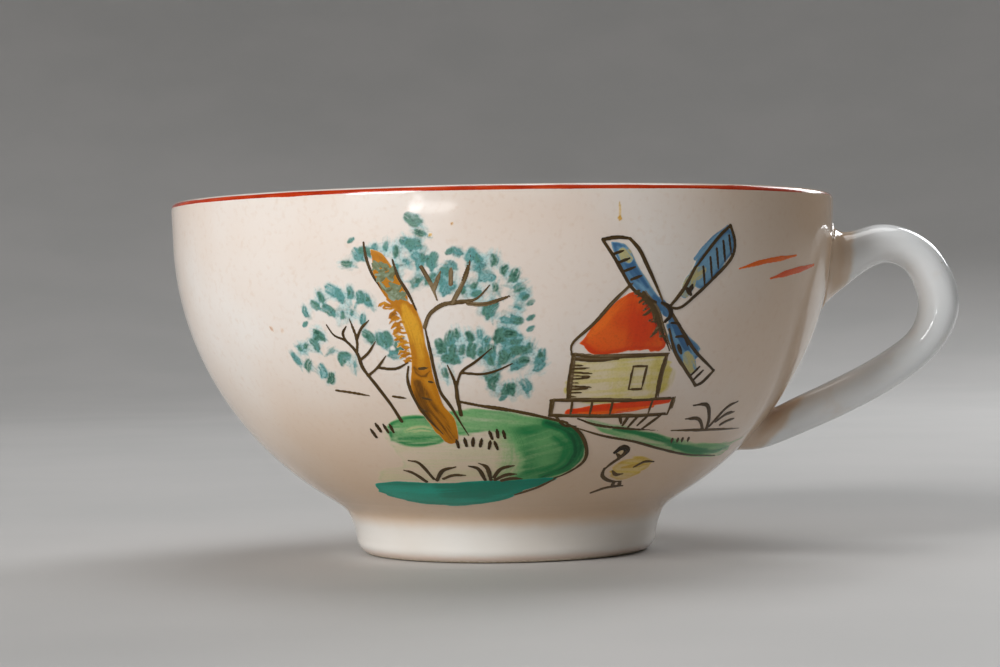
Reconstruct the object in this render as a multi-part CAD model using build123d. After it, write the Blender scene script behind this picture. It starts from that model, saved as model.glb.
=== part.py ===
from build123d import *
import os
from math import asin, cos, degrees, radians, sin, sqrt

# Teacup with a loop handle and a painted outside. Millimetres, +Z up, origin on the cup's axis at
# the level it stands on, handle towards +X, painted side towards -Y.

# Bowl: the outer wall is half an ellipse turned about the axis, with a short straight lip above it.
cup_height = 50.5
belly_height = 46.0
belly_radius = 47.35
belly_depth = 44.95
lip_flare = 0.15
wall_thickness = 2.3
lip_thickness = 2.0
lip_round = 0.6
floor_thickness = 3.0
floor_corner_radius = 12.0

# Foot ring
foot_height = 6.4
foot_waist_radius = 21.6
foot_waist_height = 2.2
foot_contact_outer = 19.4
foot_contact_inner = 18.2
foot_bore_radius = 17.2
foot_bore_round = 0.8

# Handle: (x, z, direction, thickness in the loop's plane, width across it) along the middle of the
# loop, where direction is the way that the loop runs there, in degrees from +X
handle_stations = [
    (44.6, 40.1, 0, 11.0, 12.4),
    (47.2, 40.3, 2, 10.3, 11.6),
    (49.4, 41.3, 8, 7.8, 10.2),
    (51.6, 42.3, 13, 6.0, 9.2),
    (55.6, 43.4, 3, 5.5, 8.6),
    (60.3, 41.1, -46, 5.3, 8.5),
    (62.7, 35.2, -92, 5.8, 8.4),
    (60.9, 29.7, -124, 5.0, 8.3),
    (55.5, 25.0, -149, 4.9, 8.4),
    (48.6, 21.4, -156, 4.9, 8.8),
    (41.6, 18.3, -154, 4.6, 9.6),
    (35.0, 14.9, -152, 4.4, 10.4),
    (29.6, 12.0, -151, 3.4, 10.6),
]

# Slip: the thin film of clay that joins each end of the handle to the bowl
slip_thickness = 0.3
upper_slip = {"x": 47.0, "z": 40.2, "tilt": 0.0, "height": 12.0, "width": 13.6}
lower_slip = {"x": 34.6, "z": 15.0, "tilt": 44.0, "height": 11.4, "width": 12.0}

# Fired enamel
enamel_thickness = 0.15
rim_line_bottom = 49.3
rim_line_top = 49.85
brush_width = 0.7


def wall_radius(height):
    """The bowl's outer radius at a height."""
    drop = max(belly_height - height, 0.0) / belly_depth
    return belly_radius * sqrt(1 - drop * drop)


def cup_outside(growth):
    """The bowl as a filled form, from the foot's top to the brim, grown outwards by growth."""
    radius = belly_radius + growth
    depth = belly_depth + growth
    middle = (0, belly_height)
    start_angle = degrees(asin((foot_height - belly_height) / depth))
    with BuildPart() as form:
        with BuildSketch(Plane.XZ):
            with BuildLine():
                wall = EllipticalCenterArc(middle, radius, depth, start_angle, arc_size=-start_angle)
                lip = Line(wall @ 1, (radius + lip_flare, cup_height))
                Polyline(lip @ 1, (0, cup_height), (0, foot_height), wall @ 0)
            make_face()
        revolve(axis=Axis.Z)
    return form.part


def cup_inside():
    """The hollow of the bowl, with a rounded corner between wall and floor."""
    radius = belly_radius - wall_thickness
    depth = belly_depth - wall_thickness
    middle = (0, belly_height)
    floor_height = foot_height + floor_thickness
    start_angle = degrees(asin((floor_height - belly_height) / depth))
    lip_radius = belly_radius + lip_flare - lip_thickness
    with BuildPart() as hollow:
        with BuildSketch(Plane.XZ):
            with BuildLine():
                wall = EllipticalCenterArc(middle, radius, depth, start_angle, arc_size=-start_angle)
                lip = Line(wall @ 1, (lip_radius, cup_height))
                Polyline(lip @ 1, (0, cup_height), (0, floor_height), wall @ 0)
            make_face()
        revolve(axis=Axis.Z)
        floor_edge = hollow.edges().filter_by(GeomType.CIRCLE).sort_by(Axis.Z)[0]
        fillet(floor_edge, floor_corner_radius)
    return hollow.part


def make_bowl():
    bowl = cup_outside(0) - cup_inside()
    brim_edges = bowl.edges().filter_by(GeomType.CIRCLE).group_by(Axis.Z)[-1]
    return fillet(brim_edges, lip_round)


def make_foot_ring():
    """A turned ring: concave where it meets the bowl, round at its outer toe, flat where it stands."""
    top_radius = wall_radius(foot_height)
    with BuildPart() as ring:
        with BuildSketch(Plane.XZ):
            with BuildLine():
                side = Line((top_radius, foot_height), (foot_waist_radius, foot_waist_height))
                toe = TangentArc(side @ 1, (foot_contact_outer, 0), tangent=side % 1)
                tread = Line(toe @ 1, (foot_contact_inner, 0))
                heel = TangentArc(tread @ 1, (foot_bore_radius, foot_bore_round), tangent=tread % 1)
                Polyline(heel @ 1, (foot_bore_radius, foot_height), side @ 0)
            make_face()
        revolve(axis=Axis.Z)
    return ring.part


def make_handle(body):
    """The loop, lofted through oval sections that flare towards both ends, then cut to the bowl."""
    sections = []
    for x, z, direction, thickness, width in handle_stations:
        along = (cos(radians(direction)), 0, sin(radians(direction)))
        plane = Plane(origin=(x, 0, z), x_dir=(0, 1, 0), z_dir=along)
        sections.append(plane * Ellipse(width / 2, thickness / 2))
    return loft(sections) - body


def make_slip(place, film):
    """The part of the film under one end of the handle: an oval patch seen along its own axis."""
    middle = Plane(origin=(place["x"], 0, place["z"]), x_dir=(0, 1, 0), z_dir=(1, 0, 0))
    outlook = middle.rotated((-place["tilt"], 0, 0))
    patch = outlook * Ellipse(place["width"] / 2, place["height"] / 2)
    return extrude(patch, amount=5, both=True) & film


def make_rim_line(film):
    """A thin ring of enamel round the outside, just under the brim's rounded edge."""
    side = 2 * belly_radius + 5
    height = rim_line_top - rim_line_bottom
    slab = Pos(0, 0, rim_line_bottom + height / 2) * Box(side, side, height)
    return film & slab


def seen_from_front(azimuth, height):
    """Where a point of the wall lies in the front view. Azimuth is in degrees from -Y towards +X."""
    return wall_radius(height) * sin(radians(azimuth)), height


def field(*points):
    """A painted area with a smooth outline through its points."""
    spots = [seen_from_front(*point) for point in points]
    return Plane.XZ * make_face(Spline(*spots, periodic=True))


def panel(*points):
    """A painted area with straight sides."""
    spots = [seen_from_front(*point) for point in points]
    return Plane.XZ * make_face(Polyline(*spots, close=True))


def stroke(*points, width=brush_width):
    """One pull of the brush along its points."""
    spots = [seen_from_front(*point) for point in points]
    line = Spline(*spots) if len(spots) > 2 else Line(*spots)
    return Plane.XZ * trace(line, width)


def dab(azimuth, height, size):
    """One touch of a round brush."""
    x, z = seen_from_front(azimuth, height)
    return Plane.XZ * (Pos(x, z) * Ellipse(size * cos(radians(azimuth)), 0.8 * size))


def painted_areas():
    """The picture, topmost colour first: a tree on a knoll, a windmill behind it, and a goose."""
    return {
        "enamel_sails": [
            panel((17.6, 43.2), (20.0, 43.0), (27.2, 36.2), (24.6, 36.9), (20.6, 38.8)),
            panel((30.0, 38.8), (31.5, 40.8), (38.2, 44.8), (39.8, 42.0), (33.0, 37.6)),
            panel((28.6, 34.4), (35.3, 29.0), (33.8, 26.4), (29.6, 30.2)),
        ],
        "enamel_mill_roof": [
            panel((13.6, 30.8), (20.0, 36.3), (23.6, 35.6), (28.0, 29.6), (22.0, 29.4), (15.0, 28.5)),
        ],
        "enamel_mill_wall": [panel((12.0, 27.8), (28.3, 28.2), (28.6, 23.0), (11.8, 23.0))],
        "enamel_mill_deck": [panel((12.5, 21.4), (31.8, 21.4), (31.8, 22.4), (12.5, 22.4))],
        "enamel_foliage": [
            dab(azimuth, height, size)
            for azimuth, height, size in [
                (-38.8, 29.0, 1.2),
                (-36.0, 27.6, 1.1),
                (-32.6, 31.4, 0.9),
                (-30.8, 36.2, 1.2),
                (-26.0, 37.4, 0.9),
                (-23.2, 36.8, 1.0),
                (-23.4, 41.8, 1.2),
                (-16.2, 42.6, 1.0),
                (-13.0, 44.0, 0.9),
                (-4.0, 40.8, 1.3),
                (-0.4, 41.4, 1.0),
                (2.4, 38.0, 1.1),
                (2.0, 33.8, 1.3),
                (-0.2, 30.4, 1.3),
                (3.2, 28.2, 1.3),
                (5.4, 28.9, 0.9),
                (-2.0, 26.6, 1.0),
                (0.0, 24.8, 1.1),
                (3.2, 24.9, 1.3),
            ]
        ],
        "enamel_trunk": [
            field(
                (-21.4, 42.4),
                (-17.4, 39.2),
                (-14.2, 34.6),
                (-12.7, 30.0),
                (-12.2, 25.8),
                (-10.6, 22.6),
                (-14.9, 22.4),
                (-16.2, 25.5),
                (-15.6, 29.5),
                (-17.8, 35.0),
            )
        ],
        "enamel_branches": [
            stroke((-21.0, 21.4), (-22.5, 23.8), (-24.6, 26.4), (-25.2, 29.0), (-26.9, 31.0), (-30.2, 33.0)),
            stroke((-24.4, 26.4), (-22.0, 27.3), (-18.8, 27.6)),
            stroke((-8.6, 23.4), (-8.4, 25.6), (-6.2, 27.8), (-3.4, 29.2)),
            stroke((-12.0, 33.0), (-11.2, 34.4), (-9.2, 35.2), (-6.0, 35.8), (-2.2, 37.6)),
        ],
        "enamel_knoll": [
            field(
                (-24.0, 18.6),
                (-20.0, 20.5),
                (-8.0, 21.7),
                (4.0, 21.0),
                (13.0, 19.2),
                (16.8, 15.6),
                (12.0, 12.9),
                (-2.0, 12.4),
                (-20.0, 12.4),
                (-31.0, 12.6),
                (-25.5, 15.0),
            )
        ],
        "enamel_pond": [
            field(
                (-36.6, 10.6),
                (-32.0, 11.7),
                (-16.0, 11.7),
                (2.0, 11.6),
                (10.0, 12.0),
                (3.0, 10.0),
                (-12.0, 8.3),
                (-28.0, 8.8),
            )
        ],
        "enamel_slope": [
            field(
                (18.0, 20.0),
                (23.0, 19.6),
                (32.0, 18.0),
                (44.0, 16.6),
                (58.0, 15.4),
                (57.0, 14.0),
                (43.0, 15.2),
                (31.0, 16.8),
                (22.0, 18.4),
            )
        ],
        "enamel_goose": [
            field((26.5, 14.2), (31.5, 14.4), (35.6, 13.9), (34.2, 12.4), (31.0, 11.8), (27.6, 12.8)),
        ],
        "enamel_sky_strokes": [
            stroke((41.5, 39.7), (49.0, 40.5), (56.5, 41.3), width=0.5),
            stroke((50.0, 38.3), (57.0, 39.2), (64.0, 40.0), width=0.5),
        ],
    }


def make_enamels(film):
    """Cuts each colour out of the enamel film, leaving out what a colour above it covers."""
    enamels = {}
    covered = []
    for name, areas in painted_areas().items():
        shape = Sketch() + areas
        if covered:
            shape = shape - covered
        enamels[name] = extrude(shape, amount=belly_radius + 5) & film
        covered.append(shape)
    return enamels


def main():
    outside = cup_outside(0)
    slip_film = cup_outside(slip_thickness) - outside
    enamel_film = cup_outside(enamel_thickness) - outside
    parts = {
        "bowl": make_bowl(),
        "foot_ring": make_foot_ring(),
        "handle": make_handle(cup_outside(slip_thickness)),
        "upper_handle_slip": make_slip(upper_slip, slip_film),
        "lower_handle_slip": make_slip(lower_slip, slip_film),
        "rim_line": make_rim_line(enamel_film),
        **make_enamels(enamel_film),
    }
    os.makedirs("parts", exist_ok=True)
    for name, part in parts.items():
        export_step(part, f"parts/{name}.step")


main()
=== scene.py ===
import math

import bpy
import numpy as np
from mathutils import Euler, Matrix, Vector


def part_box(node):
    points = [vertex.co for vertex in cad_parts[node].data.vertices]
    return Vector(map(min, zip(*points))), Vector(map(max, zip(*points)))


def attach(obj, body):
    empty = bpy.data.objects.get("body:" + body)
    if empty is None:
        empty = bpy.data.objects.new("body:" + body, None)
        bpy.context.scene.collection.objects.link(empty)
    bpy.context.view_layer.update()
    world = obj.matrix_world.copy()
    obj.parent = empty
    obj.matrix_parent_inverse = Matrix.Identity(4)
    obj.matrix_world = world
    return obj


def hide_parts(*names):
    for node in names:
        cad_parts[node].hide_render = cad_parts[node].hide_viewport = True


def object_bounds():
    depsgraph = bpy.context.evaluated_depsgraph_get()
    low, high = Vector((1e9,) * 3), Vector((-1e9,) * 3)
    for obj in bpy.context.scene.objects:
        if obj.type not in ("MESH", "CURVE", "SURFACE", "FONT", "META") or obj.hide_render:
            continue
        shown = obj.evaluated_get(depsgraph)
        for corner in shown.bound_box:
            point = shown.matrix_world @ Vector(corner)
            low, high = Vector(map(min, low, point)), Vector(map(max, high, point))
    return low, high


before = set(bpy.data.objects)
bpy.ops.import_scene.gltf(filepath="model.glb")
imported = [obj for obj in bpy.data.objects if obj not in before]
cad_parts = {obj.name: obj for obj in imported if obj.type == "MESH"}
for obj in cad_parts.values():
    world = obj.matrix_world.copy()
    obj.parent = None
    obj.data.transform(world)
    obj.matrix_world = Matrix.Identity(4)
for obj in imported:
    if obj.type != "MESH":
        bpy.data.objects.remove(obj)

# A painted porcelain teacup. Sizes here are in millimetres and azimuths in degrees from -Y, the
# painted side, towards +X, the handle. The frame's boxes give the driving sizes.

cad_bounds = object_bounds()
MM = 0.001
FLOOR_HEIGHT = cad_bounds[0].z / MM
BOWL_LOW, BOWL_HIGH = (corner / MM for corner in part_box("bowl"))
FOOT_HEIGHT = (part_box("foot_ring")[1] / MM).z

BRIM_HEIGHT = BOWL_HIGH.z
BRIM_RADIUS = (BOWL_HIGH.x - BOWL_LOW.x) / 2
LIP_FLARE = 0.13
LIP_THICKNESS = 2.0
BELLY_RADIUS = BRIM_RADIUS - LIP_FLARE
BELLY_HEIGHT = BRIM_HEIGHT - 4.5
BELLY_DEPTH = 44.95
WALL_THICKNESS = 2.3
FLOOR_THICKNESS = 3.0
BOWL_BASE = FOOT_HEIGHT + 0.2
ROOT_DIVIDE = 30  # a height between the handle's two roots

# A film of enamel starts inside the wall and stands off it by its lift and its thickness. Where
# two films cross, the one with more lift covers the other.
EMBEDDED = -0.03
WASH_LIFT = 0.006
LINE_LIFT = 0.06
FILM_THICKNESS = 0.02


# ---- The wall's surface


def unevenness(height, azimuth):
    """How far the hand-finished wall strays from a true form. It grows from nothing at the foot."""
    turn = np.radians(azimuth)
    start, growth = FOOT_HEIGHT + 1, 16
    share = np.clip((height - start) / growth, 0, 1)
    return share * (0.2 * np.sin(turn) + 0.05 * np.sin(2 * turn + 0.8) + 0.04 * np.sin(3 * turn))


def wall_radius(height, azimuth=0.0):
    """The outer wall's radius: part of an ellipse, a slight flare, and the lip's round edge."""
    drop = np.clip(BELLY_HEIGHT - height, 0, None) / BELLY_DEPTH
    flare = np.clip((height - BELLY_HEIGHT) / (BRIM_HEIGHT - BELLY_HEIGHT), 0, 1)
    lip = LIP_THICKNESS / 2
    over = np.clip(height - BRIM_HEIGHT + lip, 0, 0.97 * lip)
    rounding = lip - np.sqrt(lip**2 - over**2)
    wall = BELLY_RADIUS * np.sqrt(1 - drop**2) + LIP_FLARE * flare - rounding
    return wall + unevenness(height, azimuth)


def on_wall(azimuth, height, lift):
    """Points at a lift above the bowl's outer wall, as an array of x, y, z."""
    turn = np.radians(azimuth)
    radius = wall_radius(height, azimuth)
    below = np.clip(BELLY_HEIGHT - height, 0, None)
    outward = radius / BELLY_RADIUS**2
    downward = below / BELLY_DEPTH**2
    length = np.hypot(outward, downward)
    radius = radius + lift * outward / length
    height = height - lift * downward / length
    return np.stack([radius * np.sin(turn), -radius * np.cos(turn), height], axis=-1)


# ---- Mesh helpers


def add_mesh(name, points, faces, body="root"):
    """A smooth-shaded piece from points in millimetres, riding on a body."""
    mesh = bpy.data.meshes.new(name)
    mesh.from_pydata((np.asarray(points, float) * MM).tolist(), [], faces)
    mesh.validate()
    mesh.polygons.foreach_set("use_smooth", [True] * len(mesh.polygons))
    piece = bpy.data.objects.new(name, mesh)
    bpy.context.collection.objects.link(piece)
    if body:
        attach(piece, body)
    return piece


def skin(rings):
    """Faces between each ring of point numbers and the next. A ring of one point closes an end."""
    faces = []
    sides = max(map(len, rings))
    for low, high in zip(rings, rings[1:]):
        for side in range(sides):
            after = (side + 1) % sides
            ring = [low[side % len(low)], low[after % len(low)]]
            ring += [high[after % len(high)], high[side % len(high)]]
            faces.append(list(dict.fromkeys(ring)))
    return faces


def turned(name, profile, segments, radial=None, body="root"):
    """A form turned about the axis. profile is a list of (radius, height): an end on the axis is
    closed there, and with no end on the axis it is a loop. Its faces look away from the axis where
    it goes up. radial(height, azimuth) is added to each radius."""
    points, rings = [], []
    azimuths = np.arange(segments) * 360 / segments
    turn = np.radians(azimuths)
    for radius, height in profile:
        if radius == 0:
            rings.append([len(points)])
            points.append((0, 0, height))
            continue
        grown = radius + (radial(height, azimuths) if radial else 0 * azimuths)
        rings.append(range(len(points), len(points) + segments))
        points.extend(zip(grown * np.sin(turn), -grown * np.cos(turn), [height] * segments))
    if min(len(rings[0]), len(rings[-1])) > 1:
        rings.append(rings[0])
    return add_mesh(name, points, skin(rings), body)


def arc(centre, radius, start, end, count):
    """count + 1 points of a circle, in (radius, height), from one angle to another in degrees."""
    angles = np.radians(np.linspace(start, end, count + 1))
    return [(centre[0] + radius * math.cos(a), centre[1] + radius * math.sin(a)) for a in angles]


def eased(t):
    """0 to 1 with a smooth start and end."""
    t = np.clip(t, 0, 1)
    return t * t * (3 - 2 * t)


def smooth_curve(points, spacing):
    """Points of a curve through the given points, about spacing apart."""
    knots = np.asarray(points, float)
    if len(knots) < 3:
        count = max(int(np.linalg.norm(knots[-1] - knots[0]) / spacing), 2)
        return knots[0] + (knots[-1] - knots[0]) * np.linspace(0, 1, count + 1)[:, None]
    padded = np.vstack([2 * knots[0] - knots[1], knots, 2 * knots[-1] - knots[-2]])
    curve = []
    for before, start, end, after in zip(padded, padded[1:], padded[2:], padded[3:]):
        count = max(int(np.linalg.norm(end - start) / spacing), 1)
        second = 2 * before - 5 * start + 4 * end - after
        third = 3 * start - before - 3 * end + after
        for t in np.arange(count) / count:
            curve.append(0.5 * (2 * start + (end - before) * t + second * t**2 + third * t**3))
    return np.array(curve + [knots[-1]])


def running(lengths):
    """How far along a line each of its points is, from the lengths of its steps."""
    return np.concatenate([[0], np.cumsum(lengths)])


def lattice_noise(x, y, seed):
    """Smooth noise between 0 and 1, with lumps about 1 across."""
    rows, columns = 61, 67
    lattice = np.random.default_rng(seed).random((rows, columns))
    column, row = np.floor(x).astype(int), np.floor(y).astype(int)
    across, up = eased(x - column), eased(y - row)
    steps = [(0, 0), (0, 1), (1, 0), (1, 1)]
    corners = [lattice[(row + r) % rows, (column + c) % columns] for r, c in steps]
    low = corners[0] * (1 - across) + corners[1] * across
    high = corners[2] * (1 - across) + corners[3] * across
    return low * (1 - up) + high * up


# ---- Clay: bowl, foot ring and handle


def make_bowl():
    """The bowl in one turned form: underside, outer wall, rounded lip, inner wall and floor."""
    outer = [
        (BELLY_RADIUS * math.sqrt(1 - ((BELLY_HEIGHT - z) / BELLY_DEPTH) ** 2), z)
        for z in np.linspace(BOWL_BASE, BELLY_HEIGHT, 64)
    ]
    lip_radius = LIP_THICKNESS / 2
    lip_middle = (BRIM_RADIUS - lip_radius, BRIM_HEIGHT - lip_radius)
    lip = arc(lip_middle, lip_radius, 0, 180, 16)
    floor = FOOT_HEIGHT + FLOOR_THICKNESS
    inner_radius = BELLY_RADIUS - WALL_THICKNESS
    inner_depth = BELLY_DEPTH - WALL_THICKNESS
    inner_end = 46  # degrees round the inner ellipse, where the wall turns into the floor
    inner = [
        (inner_radius * math.cos(a), BELLY_HEIGHT - inner_depth * math.sin(a))
        for a in np.radians(np.linspace(0, inner_end, 40))
    ]
    # The wall runs into the floor by a curve that starts along the wall and ends flat
    well = 4  # the radius of the floor's level middle
    last = Vector(inner[-1])
    slope = (last - Vector(inner[-2])).normalized()
    corner = last + slope * ((floor - last.y) / slope.y)
    dish = [
        tuple(last * (1 - t) ** 2 + corner * 2 * t * (1 - t) + Vector((well, floor)) * t**2)
        for t in np.linspace(0, 1, 24)[1:]
    ]
    under = [(r, BOWL_BASE) for r in (0, 6, 12, 18)]
    profile = under + outer + lip + inner + dish + [(well / 2, floor), (0, floor)]
    bowl = turned("bowl_body", profile, 288, unevenness)
    x, y, z = np.array([point.co for point in bowl.data.vertices]).T / MM
    # The lustre gives way to white glaze on the lip, just inside the outer wall
    depth = wall_radius(z, np.degrees(np.arctan2(x, -y))) - np.hypot(x, y)
    edge, blend = 0.5, 0.6
    store(bowl, "white", eased((depth - edge) / blend))
    return bowl


def make_foot_ring():
    """The turned foot: a small fillet under the bowl, a flared side, a round toe, a flat tread."""
    tread_outer, tread_inner, bore = 19.4, 18.2, 17.2
    top = FOOT_HEIGHT
    ankle, arch = (21.6, 2.4), (bore, 0.9)
    fillet = [(25.9, top + 2.02), (25.2, top + 1.53), (24.5, top + 1.07), (23.7, top + 0.5)]
    flare = [(22.95, top - 0.2), (22.45, 5.3), (22.1, 4.4), (21.8, 3.4), ankle]
    side = smooth_curve(fillet + flare, 0.3)
    toe = smooth_curve([ankle, (21.45, 1.5), (21.0, 0.75), (20.3, 0.2), (tread_outer, 0)], 0.2)
    heel = smooth_curve([(tread_inner, 0), (bore + 0.25, 0.25), arch], 0.15)
    hollow = [arch, (bore - 0.1, 5.2), (bore - 0.5, 6.1), (bore - 1.6, top + 0.1)]
    inside = smooth_curve(hollow, 0.3)
    hidden = [(bore - 1.6, top + 0.6), (21.5, top + 1.0), (24.6, top + 2.1)]
    downwards = [*side, *toe[1:], *heel, *inside[1:], *hidden]
    return turned("foot_body", downwards[::-1], 240)


# (x, z, direction in degrees from +X, thickness, width) along the middle of the loop
HANDLE_STATIONS = [
    (45.7, 40.1, 0, 10.2, 11.6),
    (47.2, 40.4, 2, 9.6, 10.6),
    (49.4, 41.3, 8, 7.6, 9.6),
    (51.6, 42.3, 13, 6.0, 8.9),
    (55.6, 43.5, 3, 5.5, 8.5),
    (60.5, 41.2, -46, 5.3, 8.4),
    (63.1, 35.2, -92, 5.8, 8.4),
    (61.2, 29.5, -124, 5.0, 8.3),
    (55.5, 25.0, -149, 5.1, 8.3),
    (48.6, 21.4, -156, 5.2, 8.5),
    (41.6, 18.3, -154, 5.0, 9.0),
    (36.8, 16.1, -153, 4.3, 9.5),
    (34.2, 15.0, -150, 2.8, 9.4),
    (32.6, 14.5, -150, 1.2, 7.6),
]


def wall_gap(points):
    """How far points stand off the bowl's outer wall, and the wall's outward direction there."""
    azimuth = np.degrees(np.arctan2(points[:, 0], -points[:, 1]))
    height = points[:, 2].copy()
    # Each round moves the foot along the wall, towards where the wall faces the point
    for _ in range(6):
        foot = on_wall(azimuth, height, 0)
        outward = on_wall(azimuth, height, 1) - foot
        gap = ((points - foot) * outward).sum(axis=1)
        miss = points - foot - gap[:, None] * outward
        height = height + miss[:, 2]
    return gap, outward


def even_stations(spacing):
    """The handle's stations, evenly spaced along the loop and smoothed so that it has no kinks."""
    curve = smooth_curve(HANDLE_STATIONS, 0.5)
    run = running(np.hypot(np.diff(curve[:, 0]), np.diff(curve[:, 1])))
    even = np.linspace(0, run[-1], int(run[-1] / spacing))
    stations = np.stack([np.interp(even, run, column) for column in curve.T], axis=-1)
    for _ in range(16):
        stations[1:-1] = (stations[:-2] + 2 * stations[1:-1] + stations[2:]) / 4
    return stations


def make_handle():
    """The loop: oval sections along the stations, spread into a fillet where they meet the wall."""
    sides = 64
    sideways = 0.25  # how far the hand-pulled loop wanders to either side
    stations = even_stations(0.4)
    wobble = lattice_noise(np.arange(len(stations)) / 14, 0 * stations[:, 0], seed=5) - 0.5
    turn = np.arange(sides) * 2 * math.pi / sides
    # The section is a superellipse, a little squarer than an oval
    power = 2 / 2.25
    across = np.sign(np.cos(turn)) * np.abs(np.cos(turn)) ** power
    through = np.sign(np.sin(turn)) * np.abs(np.sin(turn)) ** power
    points, axes = [], []
    for (x, z, direction, thickness, width), shift in zip(stations, wobble):
        lean = math.radians(direction)
        normal = np.array([-math.sin(lean), 0, math.cos(lean)])
        centre = np.array([x, sideways * shift, z])
        ring = centre + np.outer(through * thickness / 2, normal)
        ring[:, 1] += across * width / 2
        points.append(ring)
        axes.append(np.repeat(centre[None], sides, axis=0))
    points, axes = np.vstack(points), np.vstack(axes)
    points = points + fillet_shift(points, axes)
    count = len(points)
    caps = [points[:sides].mean(axis=0), points[-sides:].mean(axis=0)]
    rings = [range(start, start + sides) for start in range(0, count, sides)]
    handle = add_mesh(
        "handle_body", np.vstack([points, caps]), skin([[count], *rings, [count + 1]])
    )
    # The lustre runs out from the wall, further over the upper root than the lower one
    reach = np.where(points[:, 2] > ROOT_DIVIDE, 4.0, 3.2)
    lustre = 1 - eased((wall_gap(points)[0] - 0.4) / reach)
    store(handle, "root", np.append(lustre, [1, 1]))
    return handle


def fillet_shift(points, axes):
    """Moves the handle's skin outwards near the wall, along the wall, by a quarter circle."""
    reach = np.where(points[:, 2] > ROOT_DIVIDE, 2.2, 0.9)
    gap, outward = wall_gap(points)
    away = points - axes
    away -= (away * outward).sum(axis=1)[:, None] * outward
    away /= np.maximum(np.linalg.norm(away, axis=1), 1e-6)[:, None]
    depth = np.minimum(np.maximum(reach - gap, 0), reach)
    spread = reach - np.sqrt(np.maximum(reach**2 - depth**2, 0))
    inner = np.clip(1 + gap / reach, 0, 1)
    return away * (spread * inner)[:, None]


# ---- Enamel: brush strokes gathered into thin films on the wall

WALL_HEIGHTS = np.linspace(FOOT_HEIGHT, BRIM_HEIGHT, 800)
WALL_LENGTHS = running(np.hypot(np.diff(wall_radius(WALL_HEIGHTS)), np.diff(WALL_HEIGHTS)))


def wall_length(height):
    """How far a height is up the wall, measured along the wall."""
    return np.interp(height, WALL_HEIGHTS, WALL_LENGTHS)


def resampled(path, spacing):
    """The same line with points about spacing millimetres apart on the wall."""
    steps = np.diff(path, axis=0)
    heights = path[:-1, 1]
    run = running(np.hypot(steps[:, 0] * np.radians(1) * wall_radius(heights), steps[:, 1]))
    even = np.linspace(0, run[-1], max(int(run[-1] / spacing), 1) + 1)
    return np.stack([np.interp(even, run, path[:, side]) for side in (0, 1)], axis=-1)


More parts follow.
